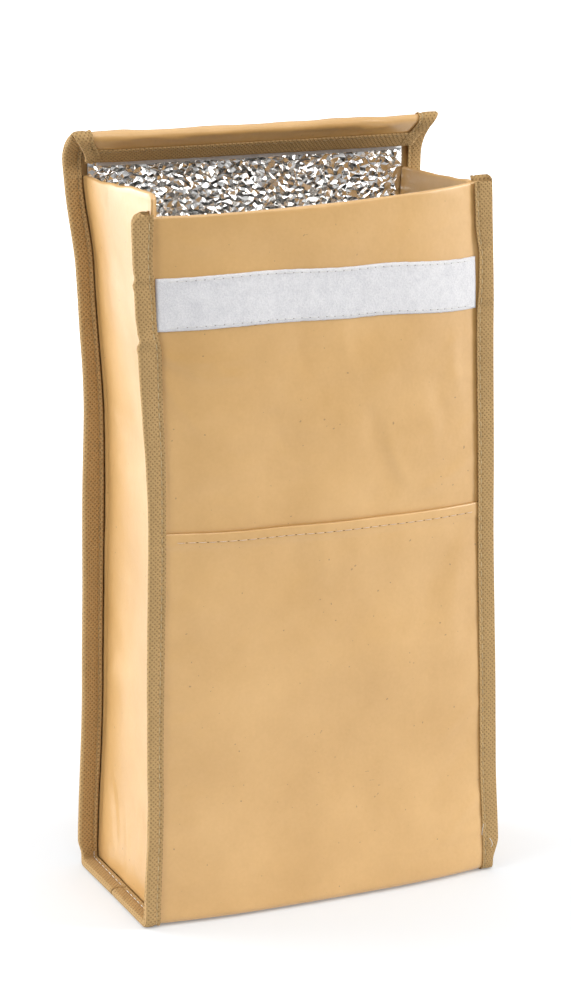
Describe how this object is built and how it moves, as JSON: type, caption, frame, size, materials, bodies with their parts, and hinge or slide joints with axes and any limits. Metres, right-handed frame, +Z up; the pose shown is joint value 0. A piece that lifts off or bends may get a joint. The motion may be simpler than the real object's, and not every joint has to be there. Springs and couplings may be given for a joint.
{
  "type": "insulated lunch bag",
  "caption": "Tall sewn lunch bag in brown paper-look cloth, with bound outward seams, a front pocket, a white closing strip, a forward-folding flap and a crinkled foil lining.",
  "frame": {"origin": "on the floor, under the middle of the bag", "axes": "+Z up, the front with the pocket faces -Y, +X to the viewer's right when facing the front"},
  "size_m": [0.1888, 0.1017, 0.3688],
  "materials": {
    "paper_cloth": "satin, paper-look laminate with soft creases",
    "foil_lining": "crinkled foil on thin foam",
    "white_strip": "matt brushed loop pile",
    "binding_tape": "matt embossed non-woven tape"
  },
  "bodies": {
    "root": {"outer_body_panel": "paper_cloth", "upper_front_panel": "paper_cloth", "left_gusset_panel": "paper_cloth", "right_gusset_panel": "paper_cloth", "body_lining": "foil_lining", "left_gusset_lining": "foil_lining", "right_gusset_lining": "foil_lining", "loop_strip": "white_strip", "hook_strip": "white_strip", "left_front_binding": "binding_tape", "left_rear_binding": "binding_tape", "right_binding": "binding_tape", "flap_end_binding": "binding_tape"}
  },
  "joints": []
}
